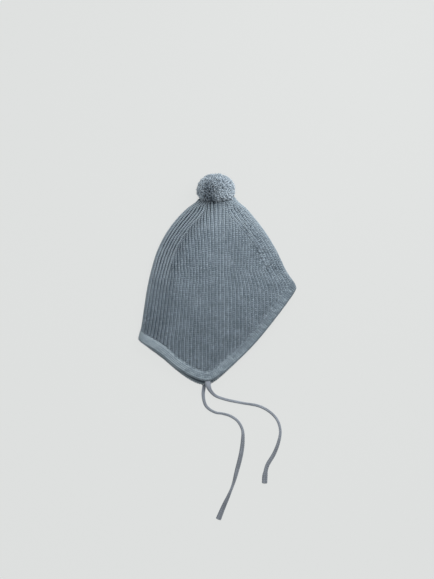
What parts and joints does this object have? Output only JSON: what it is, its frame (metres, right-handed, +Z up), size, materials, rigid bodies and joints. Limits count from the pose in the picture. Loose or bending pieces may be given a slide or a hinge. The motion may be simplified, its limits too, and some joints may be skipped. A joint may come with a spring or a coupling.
{
  "type": "pom-pom hat",
  "caption": "Knitted baby bonnet with ear flaps, a pompom on the crown and two ties, folded flat on its side.",
  "frame": {"origin": "middle of the box of the hat without its ties, on the surface it lies on", "axes": "+X towards the forehead side, +Y towards the pompom, +Z up from the surface the hat lies on"},
  "size_m": [0.1899, 0.4171, 0.0418],
  "materials": {
    "rib_knit": "one by one rib knit in heathered blue-grey wool, matt with a fine halo",
    "band_knit": "plain fine knit strip in the same wool, slightly lighter and smoother",
    "pompom_wool": "dense clipped wool yarn ends",
    "tie_cord": "narrow knitted cord in the same wool"
  },
  "bodies": {
    "root": {"crown": "rib_knit", "brim_band": "band_knit", "pompom": "pompom_wool", "tie_upper": "tie_cord", "tie_lower": "tie_cord"}
  },
  "joints": []
}
